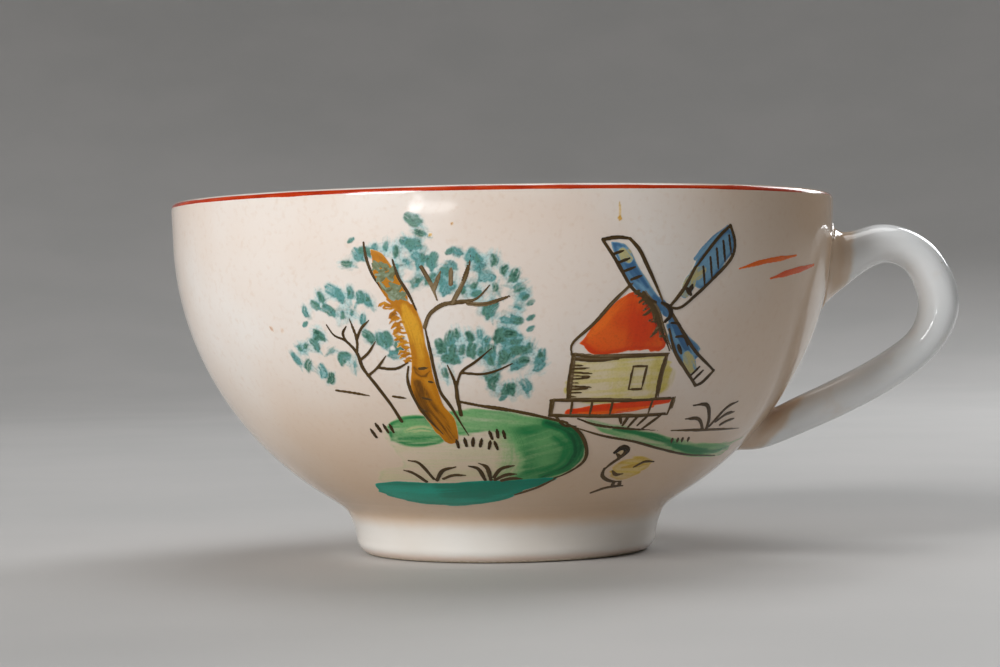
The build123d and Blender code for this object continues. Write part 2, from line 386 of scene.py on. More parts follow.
class Film:
    """Enamel on a patch of the wall, kept on a fine grid. cover is how much of it there is, from 0
    to 1, and tone, from 0 to 1, picks the shade. Points are (azimuth, height). The film ends where
    cover falls to edge."""

    def __init__(self, azimuths, heights, cell, seed, edge=0.06):
        pitch = cell / (np.radians(1) * wall_radius(np.mean(heights)))
        self.azimuth = np.arange(*azimuths, pitch)[None, :]
        self.length = np.arange(*wall_length(heights), cell)[:, None]
        self.height = np.interp(self.length, WALL_LENGTHS, WALL_HEIGHTS)
        self.degree = np.radians(1) * wall_radius(self.height)
        self.cover = np.zeros((self.length.size, self.azimuth.size))
        self.tone = np.zeros_like(self.cover)
        self.random = np.random.default_rng(seed)
        self.edge = edge

    def patch(self, path, margin):
        """The rows and columns of the grid within margin millimetres of a line."""
        lengths = wall_length(path[:, 1])
        widest = margin / self.degree.min()
        across = self.azimuth[0]
        up = self.length[:, 0]
        columns = np.searchsorted(across, [path[:, 0].min() - widest, path[:, 0].max() + widest])
        rows = np.searchsorted(up, [lengths.min() - margin, lengths.max() + margin])
        return slice(*rows), slice(*columns)

    def near(self, path, patch):
        """Of each grid point in the patch: its distance from the line, how far along the line its
        nearest point is, and its signed distance to the side. Then the line's length. All are in
        millimetres."""
        rows, columns = patch
        across, degree = self.azimuth[:, columns], self.degree[rows]
        up = self.length[rows]
        lengths = wall_length(path[:, 1])
        shape = (up.shape[0], across.shape[1])
        gap, along, side = np.full(shape, 1e9), np.zeros(shape), np.zeros(shape)
        run = 0.0
        for k in range(len(path) - 1):
            start = (path[k, 0] - across) * degree, lengths[k] - up
            step = (path[k + 1, 0] - path[k, 0]) * degree, lengths[k + 1] - lengths[k]
            size = np.maximum(np.hypot(*step), 1e-9)
            t = np.clip(-(start[0] * step[0] + start[1] * step[1]) / size**2, 0, 1)
            reach = np.hypot(start[0] + t * step[0], start[1] + t * step[1])
            turn = (start[0] * step[1] - start[1] * step[0]) / size
            closer = reach < gap
            gap = np.where(closer, reach, gap)
            along = np.where(closer, run + t * size, along)
            side = np.where(closer, turn, side)
            run += float(np.mean(size))
        return gap, along, side, run

    def lay(self, patch, cover, tone):
        """Adds a layer of enamel over what is there."""
        before = self.cover[patch]
        self.cover[patch] = 1 - (1 - before) * (1 - cover)
        self.tone[patch] += (tone - self.tone[patch]) * np.where(before < 0.02, 1, cover)

    def brush(self, points, width, tone=0.5, strength=1.0, taper=(0.5, 0.4), soft=0.12, dry=0.3,
              pool=0.0):
        """One stroke. taper is the share of the width at its two ends; soft is how wide its edge
        is; dry is how much the hairs part; pool is how much darker the edge dried."""
        seed = int(self.random.integers(1000))
        path = resampled(smooth_curve(points, 0.4), 0.35)
        patch = self.patch(path, width)
        gap, along, side, run = self.near(path, patch)
        share = along / max(run, 1e-6)
        swell, thin = 0.3, 0.4  # shares of its length over which a stroke widens and narrows
        half = width / 2 * (taper[0] + (1 - taper[0]) * eased(share / swell))
        half = half * (taper[1] + (1 - taper[1]) * eased((1 - share) / thin))
        half = half * (0.86 + 0.28 * lattice_noise(along / 1.3 + 7, 0 * along, seed))
        edge = eased((half - gap) / max(soft, 1e-6) + 0.5)
        hairs = lattice_noise(side / 0.16 + 30, along / 3 + 5, seed)
        load = 1 - dry * eased((hairs - 0.35) / 0.4) * (0.4 + 0.6 * share)
        rim = pool * np.exp(-(((half - gap) / 0.16 - 0.9) ** 2))
        shade = tone + 0.6 * (hairs - 0.5) * dry + rim
        self.lay(patch, strength * edge * load, np.clip(shade, 0, 1))

    def strokes(self, lines, width, **manner):
        """Several strokes in one manner."""
        for line in lines:
            self.brush(line, width, **manner)

    def wash(self, outline, tone, strength=0.8, soft=0.5, streak=0, patchy=0.35, pool=0.15):
        """A filled area brushed in one direction, streak degrees from level, a little thicker
        along its edge where the enamel pooled."""
        seed = int(self.random.integers(1000))
        path = resampled(smooth_curve([*outline, outline[0]], 0.5), 0.5)
        patch = self.patch(path, soft + 0.5)
        gap = self.near(path, patch)[0]
        rows, columns = patch
        across, up = self.azimuth[:, columns], self.height[rows]
        inside = np.zeros(gap.shape, bool)
        for (x0, z0), (x1, z1) in zip(path, np.roll(path, -1, axis=0)):
            spans = (z0 > up) != (z1 > up)
            cut = x0 + (up - z0) * (x1 - x0) / (z1 - z0 if z1 != z0 else 1e-9)
            inside ^= spans & (across < cut)
        depth = np.where(inside, gap, -gap)
        cos, sin = math.cos(math.radians(streak)), math.sin(math.radians(streak))
        x, y = across * self.degree[rows], self.length[rows] + 0 * across
        down, over = x * cos + y * sin, y * cos - x * sin
        ragged = lattice_noise(down / 2.5 + 50, over / 0.5 + 50, seed) - 0.5
        ragged = ragged * min(1.5 * soft, 0.6)
        edge = eased((depth + ragged) / max(soft, 1e-6) + 0.5)
        hairs = lattice_noise(down / 5 + 90, over / 0.28 + 90, seed + 1)
        cloud = lattice_noise(x / 2.6 + 20, y / 2.0 + 20, seed + 2)
        thickness = 1 - patchy * (0.55 * eased((hairs - 0.3) / 0.5) + 0.45 * cloud)
        rim = pool * np.exp(-((depth / 0.35 - 0.8) ** 2))
        shade = tone + 0.3 * (hairs - 0.5) * patchy + 0.25 * (cloud - 0.5) + rim
        cover = np.clip(strength * edge * (thickness + rim), 0, 1)
        self.lay(patch, cover, np.clip(shade, 0, 1))

    def mesh(self, name, lift, thickness=FILM_THICKNESS):
        """The film as a closed piece, where there is enamel, with cover and tone on its points. It
        is thin where there is little enamel, and its edge is a sharp one."""
        wet = self.cover > self.edge
        numbers = np.full(wet.shape, -1)
        numbers[wet] = np.arange(wet.sum())
        rows, columns = np.nonzero(wet)
        grid = [np.broadcast_to(self.azimuth, wet.shape), np.broadcast_to(self.height, wet.shape)]
        grid += [self.cover, self.tone]
        values = [tuple(layer[r, c] for layer in grid) for r, c in zip(rows, columns)]
        crossings = {}

        def crossing(inner, outer):
            """The point between a wet and a dry grid point where the enamel ends."""
            key = (inner, outer)
            if key not in crossings:
                share = (self.cover[inner] - self.edge) / (self.cover[inner] - self.cover[outer])
                t = min(max(share, 0.05), 0.95)
                crossings[key] = len(values)
                place = [layer[inner] * (1 - t) + layer[outer] * t for layer in grid[:2]]
                values.append((*place, self.edge, self.tone[inner]))
            return crossings[key]

        faces = []
        full = wet[:-1, :-1] | wet[1:, :-1] | wet[:-1, 1:] | wet[1:, 1:]
        for row, column in zip(*np.nonzero(full)):
            corners = [(row, column), (row, column + 1), (row + 1, column + 1), (row + 1, column)]
            face = []
            for corner, after in zip(corners, corners[1:] + corners[:1]):
                if wet[corner]:
                    face.append(int(numbers[corner]))
                if wet[corner] != wet[after]:
                    pair = (corner, after) if wet[corner] else (after, corner)
                    face.append(crossing(*pair))
            faces.append(face)
        azimuth, height, cover, tone = np.array(values).T
        top = on_wall(azimuth, height, lift + thickness * eased(cover) ** 2)
        bottom = on_wall(azimuth, height, EMBEDDED)
        count = len(values)
        edges = {(a, b) for face in faces for a, b in zip(face, face[1:] + face[:1])}
        border = sorted((a, b) for a, b in edges if (b, a) not in edges)
        walls = [(b, a, a + count, b + count) for a, b in border]
        under = [[corner + count for corner in reversed(face)] for face in faces]
        piece = add_mesh(name, np.vstack([top, bottom]), faces + under + walls)
        piece.data.set_sharp_from_angle(angle=math.radians(50))
        store(piece, "cover", np.tile(cover, 2))
        store(piece, "tone", np.tile(tone, 2))
        return piece


def store(piece, name, values):
    """Keeps one number for each point of a mesh."""
    layer = piece.data.attributes.new(name, "FLOAT", "POINT")
    layer.data.foreach_set("value", np.asarray(values, np.float32))


# ---- The picture: an old tree on a knoll by a pond, a windmill, and a goose


def paint_trunk():
    """Ochre, in an upper and a main length: amber in the middle, brown below, with short dry hairs
    on the left."""
    film = Film((-24, -6), (16, 44), cell=0.13, seed=11, edge=0.2)
    film.wash(
        [(-20.8, 42.6), (-18.6, 41.6), (-17.0, 39.4), (-15.2, 36.2), (-18.7, 36.4), (-20.4, 39.6)],
        tone=0.48, strength=0.95, soft=0.25, streak=118,
    )
    film.wash(
        [(-18.6, 36.2), (-15.2, 36.1), (-13.5, 33.6), (-12.7, 29.0), (-12.1, 25.2), (-11.2, 22.6),
         (-9.5, 20.6), (-9.7, 17.8), (-12.0, 17.4), (-14.2, 19.6), (-15.9, 22.0), (-16.5, 25.0),
         (-15.5, 28.8), (-15.8, 32.4), (-17.0, 34.8)],
        tone=0.4, strength=0.97, soft=0.25, streak=100,
    )
    film.brush([(-15.8, 35.2), (-14.6, 32.0), (-13.9, 29.0)], 1.9, tone=0.02, soft=0.7, dry=0.5)
    film.brush([(-15.4, 27.4), (-14.2, 26.6), (-13.0, 27.0)], 1.1, tone=1.0, strength=0.85,
               soft=0.3, dry=0.8)
    film.brush([(-15.2, 25.4), (-14.4, 22.6), (-12.4, 20.2), (-10.8, 18.2)], 2.6, tone=1.0,
               strength=0.9, soft=0.9, dry=0.6)
    for height in np.linspace(28.3, 35.9, 52):
        middle = np.interp(height, [28.4, 32.1, 35.8], [-16.4, -17.3, -18.5])
        middle += film.random.normal(0, 0.5)
        rise = film.random.uniform(-0.2, 0.6)
        line = [(middle - 0.55, height - rise), (middle, height), (middle + 0.6, height - rise / 3)]
        film.brush(line, film.random.uniform(0.2, 0.34), tone=film.random.uniform(0.2, 0.9),
                   strength=0.75, taper=(0.5, 0.6), soft=0.2, dry=0.7)
    return film.mesh("trunk_paint", lift=0.036)


def paint_moss():
    """Grey-teal dabs over the upper trunk, in two patches with the ochre between them."""
    film = Film((-22, -14), (35, 42.5), cell=0.1, seed=29, edge=0.3)
    for (low, high), count in (((38.7, 40.7), 34), ((36.3, 38.0), 30)):
        for height in np.linspace(low, high, count):
            middle = np.interp(height, [36.0, 42.0], [-16.9, -19.6])
            middle += film.random.uniform(-1.5, 1.5)
            sway = film.random.uniform(-0.5, 0.5)
            line = [(middle - 0.4, height - sway), (middle + 0.4, height + sway)]
            film.brush(line, film.random.uniform(0.22, 0.5), tone=film.random.uniform(0.0, 1.0),
                       taper=(0.6, 0.6), soft=0.2, dry=0.6)
    return film.mesh("trunk_moss", lift=0.055, thickness=0.015)


def paint_branches():
    """Brown lines: the trunk's outline, the branches of both small trees, and the ground."""
    film = Film((-34, 3), (15.5, 44.5), cell=0.115, seed=12, edge=0.3)
    outline = [
        [(-21.9, 43.5), (-21.5, 41.2), (-20.6, 39.2), (-18.8, 36.8)],
        [(-17.2, 41.2), (-16.5, 39.1), (-15.0, 36.9), (-13.9, 34.8)],
        [(-12.8, 32.8), (-12.3, 29.5), (-11.9, 26.5), (-11.4, 24.2), (-9.9, 22.2), (-7.2, 18.4)],
        [(-16.5, 27.6), (-17.1, 25.8), (-16.5, 23.3), (-15.0, 21.0), (-12.3, 18.6)],
    ]
    film.strokes(outline, 0.42, tone=0.4, dry=0.7, soft=0.16)
    left_tree = [
        [(-20.2, 20.4), (-21.4, 22.6), (-23.2, 25.1), (-25.0, 27.4), (-25.5, 29.4), (-27.2, 31.0),
         (-29.2, 31.7), (-30.3, 33.1)],
        [(-27.1, 31.0), (-27.5, 31.9), (-26.5, 32.9)],
        [(-25.5, 29.4), (-25.0, 31.2), (-25.7, 33.8)],
        [(-25.0, 31.2), (-23.8, 32.6), (-22.2, 33.6)],
        [(-25.1, 28.5), (-23.2, 29.5), (-21.6, 30.9)],
        [(-24.4, 26.4), (-22.2, 27.5), (-20.2, 29.0)],
        [(-22.2, 27.5), (-19.0, 27.3), (-16.4, 28.1)],
    ]
    right_tree = [
        [(-8.2, 21.2), (-8.5, 23.4), (-8.6, 25.4), (-9.6, 27.7)],
        [(-8.4, 25.0), (-7.3, 26.8), (-4.8, 28.1), (-2.0, 29.8)],
        [(-7.4, 26.7), (-3.8, 26.5), (-1.0, 27.0), (1.4, 27.8)],
    ]
    for trunk, *branches in (left_tree, right_tree):
        film.brush(trunk, 0.44, tone=0.3, taper=(1.0, 0.35), dry=0.4)
        film.strokes(branches, 0.32, tone=0.3, taper=(1.0, 0.35), dry=0.4)
    high = [
        [(-12.8, 32.6), (-11.8, 34.2), (-9.6, 35.4), (-7.0, 35.7), (-4.2, 36.1), (-2.0, 37.8)],
        [(-12.6, 40.2), (-11.2, 38.0), (-10.4, 36.0)],
        [(-10.8, 37.4), (-9.6, 39.6)],
        [(-8.0, 35.6), (-6.2, 38.1), (-5.2, 40.4), (-4.9, 41.7)],
        [(-8.1, 38.0), (-7.9, 40.5)],
        [(-5.5, 35.5), (-2.6, 35.4), (1.2, 36.4)],
    ]
    film.strokes(high, 0.54, tone=0.75, taper=(0.9, 0.3), dry=0.8)
    bark = [
        [(-14.9, 23.5), (-13.2, 23.2)],
        [(-16.0, 22.1), (-14.4, 21.6)],
        [(-14.6, 27.3), (-13.0, 27.4)],
        [(-13.2, 25.6), (-12.4, 25.5)],
    ]
    ground = [
        [(-32.0, 24.5), (-28.6, 24.2), (-25.2, 23.8)],
        [(-20.6, 23.7), (-17.8, 23.4)],
        [(-8.6, 23.0), (-4.0, 22.3), (0.6, 21.6)],
    ]
    film.strokes(bark + ground, 0.32, tone=0.4, taper=(0.8, 0.3), dry=0.5)
    return film.mesh("branch_lines", LINE_LIFT)


def beside(point, right, up):
    """A point moved by millimetres along the wall."""
    azimuth, height = point
    return azimuth + right / (math.radians(1) * wall_radius(height)), height + up


def press(middle, x, z, size, *steps):
    """The points of a dab of one size, at steps from its middle in the direction (x, z)."""
    return [beside(middle, step * size * x, step * size * z) for step in steps]


def leaves_along(film, points, spacing):
    """Leaf dabs pressed side by side along a drift, pointing across it. A dry pale stroke and a
    halo under each dab come first. Some dabs have a hair drawn out of them or a dark middle."""
    line = resampled(smooth_curve(points, 0.4), spacing)
    across = np.gradient(line, axis=0)
    lean = np.arctan2(across[:, 1], across[:, 0] * 0.8) + math.pi / 2
    random = film.random
    presses = []
    for place, angle in zip(line, lean):
        angle += random.normal(0, 0.35)
        middle = beside(place, random.normal(0, 0.22), random.normal(0, 0.3))
        presses.append((middle, math.cos(angle), math.sin(angle)))
    film.brush(points, 1.3, tone=0.35, strength=0.4, taper=(0.3, 0.3), soft=0.9, dry=1.0)
    for middle, x, z in presses:
        size = random.uniform(0.7, 1.3)
        film.brush(press(middle, x, z, size, -1.0, 0.6), 1.9 * size,
                   tone=random.uniform(0.0, 0.2), strength=0.5, taper=(0.5, 0.8), soft=0.9, dry=0.6)
    for middle, x, z in presses:
        size = random.uniform(0.5, 1.35)
        bend = random.uniform(-0.45, 0.45)
        start, end = press(middle, x, z, size, -0.8, 0.5)
        bent = [start, beside(middle, -bend * size * z, bend * size * x), end]
        tone = random.choice([0.3, 0.45, 0.6, 0.7, 0.85, 1.0])
        film.brush(bent, 1.1 * size, tone=tone, strength=0.88, taper=(0.3, 0.9), soft=0.4,
                   dry=0.6, pool=0.15)
        for _ in range(random.integers(0, 2)):
            swing = random.normal(0, 0.5)
            hair = [beside(middle, k * (x - swing * z), k * (z + swing * x)) for k in (-1.7, -0.5)]
            film.brush(hair, 0.35, tone=0.3, strength=0.5, taper=(0.2, 0.8), soft=0.3, dry=0.4)
        if random.random() < 0.3:
            film.brush(press(middle, x, z, size, 0.0, 0.35), 0.6 * size, tone=1.0, strength=0.8,
                       soft=0.3, dry=0.3)


def paint_foliage():
    """Teal leaf dabs in drifts around the three crowns, each on a thin pale wash."""
    film = Film((-41, 8.5), (22.5, 48.5), cell=0.13, seed=13)
    crowns = [
        [(-24.2, 40.6), (-22.6, 42.2), (-18.4, 42.7), (-14.8, 42.7)],
        [(-13.6, 43.0), (-12.5, 44.6), (-13.2, 46.0)],
        [(-16.6, 40.2), (-13.8, 41.2), (-10.4, 41.0)],
        [(-12.8, 39.0), (-10.2, 38.0), (-8.6, 39.6), (-7.2, 41.8)],
        [(-4.4, 40.8), (-2.0, 41.4), (0.0, 40.0), (2.2, 38.2), (3.4, 36.4)],
        [(3.4, 36.4), (2.6, 34.4), (1.6, 32.4), (-0.2, 30.8)],
        [(-9.8, 38.2), (-7.4, 37.2), (-4.6, 36.8)],
        [(-5.0, 41.0), (-3.0, 39.6), (-1.4, 37.8)],
        [(-4.8, 37.8), (-3.4, 36.0), (-1.8, 34.2)],
    ]
    low_crown = [
        [(-10.8, 29.4), (-8.6, 31.0), (-5.6, 31.3), (-2.6, 31.3), (0.2, 30.4)],
        [(-10.0, 27.2), (-8.0, 29.4), (-5.0, 29.4), (-2.0, 29.0)],
        [(1.4, 30.0), (4.0, 29.8), (5.8, 28.6), (6.2, 27.4)],
        [(-2.4, 28.2), (0.4, 28.8), (2.6, 27.6)],
        [(-2.2, 26.2), (0.0, 24.6), (3.2, 24.8)],
        [(0.4, 33.0), (1.2, 31.2), (2.4, 29.6), (3.6, 28.2)],
    ]
    left_crown = [
        [(-38.6, 28.6), (-36.2, 30.2), (-33.6, 30.0), (-32.2, 32.8)],
        [(-36.0, 28.0), (-34.6, 27.0), (-32.4, 26.4)],
        [(-33.4, 35.0), (-30.0, 36.6), (-26.0, 37.1), (-21.6, 35.8)],
        [(-29.0, 34.5), (-26.0, 34.9), (-23.4, 33.6)],
        [(-30.0, 29.8), (-28.0, 28.8), (-26.6, 28.0)],
        [(-22.8, 31.6), (-20.8, 31.4), (-18.0, 30.6), (-18.2, 28.9)],
    ]
    for drift in crowns + left_crown:
        leaves_along(film, drift, 1.3)
    for drift in low_crown:
        leaves_along(film, drift, 1.15)
    strays = [(-24.1, 43.8), (-8.1, 42.1), (-12.0, 41.2), (4.4, 35.5), (4.4, 33.6), (4.4, 32.2),
              (-34.6, 33.2), (-0.3, 23.3)]
    for azimuth, height in strays:
        film.brush([(azimuth - 0.4, height - 0.2), (azimuth + 0.4, height + 0.2)], 0.75, tone=0.6,
                   strength=0.9, taper=(0.7, 0.7), soft=0.3)
    return film.mesh("foliage_paint", lift=0.005, thickness=0.025)


def paint_knoll():
    """Greens: a bright band along the top, a deep lobe on the right, almost bare in the middle."""
    film = Film((-37, 20), (11, 23.5), cell=0.16, seed=14)
    film.wash(
        [(-25.5, 18.4), (-22.0, 20.6), (-14.0, 21.4), (-6.0, 22.0), (3.0, 21.2), (11.0, 20.0),
         (15.6, 17.4), (17.0, 15.0), (12.5, 12.8), (2.0, 11.9), (-12.0, 11.9), (-26.0, 12.0),
         (-33.5, 11.8), (-30.0, 13.6), (-24.0, 14.2), (-24.4, 16.4)],
        tone=0.12, strength=0.5, soft=0.6, patchy=0.7,
    )
    film.wash([(-14.0, 21.2), (-6.0, 21.9), (3.0, 21.1), (10.0, 19.9), (4.0, 18.4), (-4.0, 18.8),
               (-12.0, 18.6)], tone=0.42, strength=0.85, soft=0.7, streak=-8, patchy=0.45)
    film.wash([(0.0, 19.6), (8.0, 20.1), (13.6, 18.8), (16.2, 16.4), (14.8, 13.5), (9.0, 11.5),
               (-2.0, 11.3), (3.6, 14.2)], tone=0.6, strength=0.95, soft=1.6, streak=20,
              patchy=0.3, pool=0.0)
    film.brush([(-0.6, 19.4), (1.6, 16.6), (0.6, 13.6), (-3.0, 12.4)], 3.4, tone=0.45,
               strength=0.55, soft=2.4, dry=0.5)
    film.brush([(8.0, 20.0), (13.4, 18.6), (15.8, 16.0), (14.4, 13.8), (9.0, 12.6)], 1.9,
               tone=1.0, strength=0.9, soft=0.9, dry=0.4)
    film.brush([(10.0, 18.0), (13.0, 16.4), (11.6, 14.2), (5.0, 13.2)], 1.2, tone=0.85,
               strength=0.5, soft=0.9, dry=0.8)
    film.wash([(-24.4, 17.6), (-23.0, 20.2), (-17.5, 21.1), (-11.6, 20.4), (-12.6, 17.6),
               (-19.0, 17.0)], tone=0.58, strength=0.88, soft=0.5, streak=4, patchy=0.5)
    film.brush([(-22.0, 18.0), (-17.0, 18.1), (-13.0, 18.4)], 1.0, tone=0.8, strength=0.6,
               soft=0.6, dry=0.8)
    film.brush([(-20.2, 19.0), (-16.6, 19.4), (-13.2, 19.0)], 1.2, tone=0.0, strength=0.75,
               soft=0.5, dry=1.0)
    return film.mesh("knoll_paint", WASH_LIFT)


def paint_pond():
    """Teal, deeper towards the right."""
    film = Film((-38.5, 14.5), (7.6, 13.4), cell=0.15, seed=15)
    film.wash(
        [(-36.6, 10.4), (-34.0, 11.7), (-20.0, 11.8), (-8.0, 11.9), (3.0, 12.1), (12.4, 12.2),
         (5.0, 10.6), (-2.0, 9.1), (-12.0, 8.5), (-22.0, 8.6), (-31.0, 9.2)],
        tone=0.25, strength=1.0, soft=0.35, patchy=0.35,
    )
    film.wash([(-18.0, 11.6), (-2.0, 11.8), (9.0, 11.9), (3.0, 10.6), (-8.0, 9.6), (-17.0, 9.8)],
              tone=0.85, strength=0.7, soft=2.0, streak=5, patchy=0.7, pool=0.0)
    film.brush([(-33.0, 10.9), (-22.0, 10.6), (-8.0, 10.9)], 1.0, tone=0.0, strength=0.6,
               soft=0.8, dry=0.9)
    return film.mesh("pond_paint", lift=0.018)


def paint_knoll_lines():
    """The knoll's outline, its grass tufts and the ticks at its top, in brown."""
    film = Film((-29, 20), (9.4, 23.6), cell=0.12, seed=16, edge=0.3)
    outline = [
        [(-6.0, 22.6), (-1.0, 22.0), (5.0, 21.1), (12.0, 19.9)],
        [(11.0, 20.2), (15.0, 18.5), (17.6, 16.0), (17.5, 14.3), (14.4, 12.9), (11.8, 12.3)],
        [(11.8, 12.1), (7.6, 10.9), (2.4, 10.0)],
    ]
    film.strokes(outline, 0.44, tone=0.5, taper=(0.5, 0.6), dry=0.6)
    tufts = [
        [(-24.3, 13.6), (-22.2, 13.2), (-20.0, 12.0)],
        [(-22.0, 15.0), (-19.6, 14.6), (-17.7, 12.4)],
        [(-11.3, 14.1), (-14.6, 13.6), (-17.0, 12.2)],
        [(-9.5, 12.9), (-12.6, 12.9), (-15.2, 12.4)],
        [(-8.4, 14.2), (-6.2, 13.8), (-5.0, 12.2)],
        [(-6.0, 14.6), (-4.2, 14.0), (-3.6, 12.2)],
        [(2.0, 14.2), (-1.0, 13.8), (-2.8, 12.6)],
        [(2.6, 13.0), (0.0, 12.9), (-2.6, 12.2)],
        [(4.0, 12.3), (1.5, 12.4), (-1.0, 12.1)],
    ]
    film.strokes(tufts, 0.5, tone=0.3, taper=(0.25, 0.9), dry=0.4)
    ticks = [(-27.6, 19.3, 0.5), (-26.0, 20.1, 0.5), (-24.4, 20.0, 0.5), (-23.0, 20.0, 0.3),
             (-9.9, 17.9, 0.2), (-8.2, 18.1, 0.2), (-6.4, 18.1, -0.3), (-4.7, 18.0, -0.5),
             (-3.0, 17.7, -0.4), (-2.2, 17.6, 0.6), (-3.1, 19.0, 0.5), (-1.6, 19.2, 0.2),
             (-0.4, 19.1, 0.4)]
    for azimuth, height, lean in ticks:
        film.brush([(azimuth, height), (azimuth + lean, height - 1.1)], 0.42, tone=0.2,
                   taper=(0.4, 0.8))
    return film.mesh("grass_lines", LINE_LIFT)


def paint_roof():
    """Orange, redder on the right, with a dry brown edge there."""
    film = Film((11, 30.5), (27, 38), cell=0.13, seed=17)
    film.wash([(12.6, 30.2), (14.4, 32.2), (17.4, 34.6), (20.4, 36.6), (23.6, 36.0), (25.4, 33.4),
               (28.2, 29.4), (22.0, 29.2), (16.0, 28.6)],
              tone=0.3, strength=0.97, soft=0.25, streak=60, patchy=0.25)
    film.brush([(14.2, 31.2), (16.8, 33.6), (19.6, 35.8)], 1.2, tone=0.05, strength=0.8, soft=0.8)
    film.wash([(20.4, 35.6), (23.8, 35.0), (26.4, 30.8), (21.4, 29.8)],
              tone=0.6, strength=0.7, soft=2.4, streak=80, patchy=0.7, pool=0.0)
    film.brush([(22.6, 36.3), (25.0, 34.0), (27.2, 30.6)], 1.5, tone=1.0, strength=0.85,
               soft=0.3, dry=1.0)
    return film.mesh("roof_paint", lift=0.008, thickness=0.025)


def paint_mill_wall():
    """Thin yellow, with a browner band on the right that runs past the wall."""
    film = Film((10.5, 33), (21.5, 29.5), cell=0.15, seed=18)
    film.wash([(11.8, 28.0), (28.4, 28.3), (28.8, 23.0), (11.8, 22.9)],
              tone=0.3, strength=0.7, soft=0.5, streak=4, patchy=0.55)
    film.brush([(20.5, 27.6), (20.8, 23.4)], 3.2, tone=0.15, strength=0.3, soft=1.4, dry=0.6)
    film.brush([(27.2, 27.8), (27.6, 23.4)], 2.2, tone=0.5, strength=0.5, soft=1.0, dry=0.6)
    film.wash([(28.8, 26.6), (31.4, 26.4), (31.4, 24.0), (29.0, 23.3)],
              tone=0.8, strength=0.5, soft=0.9, streak=80, patchy=0.5)
    return film.mesh("mill_wall_paint", WASH_LIFT, thickness=0.015)


def paint_deck():
    """A red stroke with a lighter, drier one along it."""
    film = Film((9, 33.5), (20.2, 23.4), cell=0.13, seed=19)
    film.brush([(12.2, 21.2), (20.0, 21.7), (32.0, 22.4)], 1.35, tone=0.5, taper=(0.8, 0.5),
               soft=0.3, dry=0.3)
    film.brush([(14.0, 21.1), (22.0, 21.3), (29.0, 21.7)], 0.8, tone=0.15, strength=0.7,
               soft=0.3, dry=0.7)
    return film.mesh("deck_paint", lift=0.008, thickness=0.025)


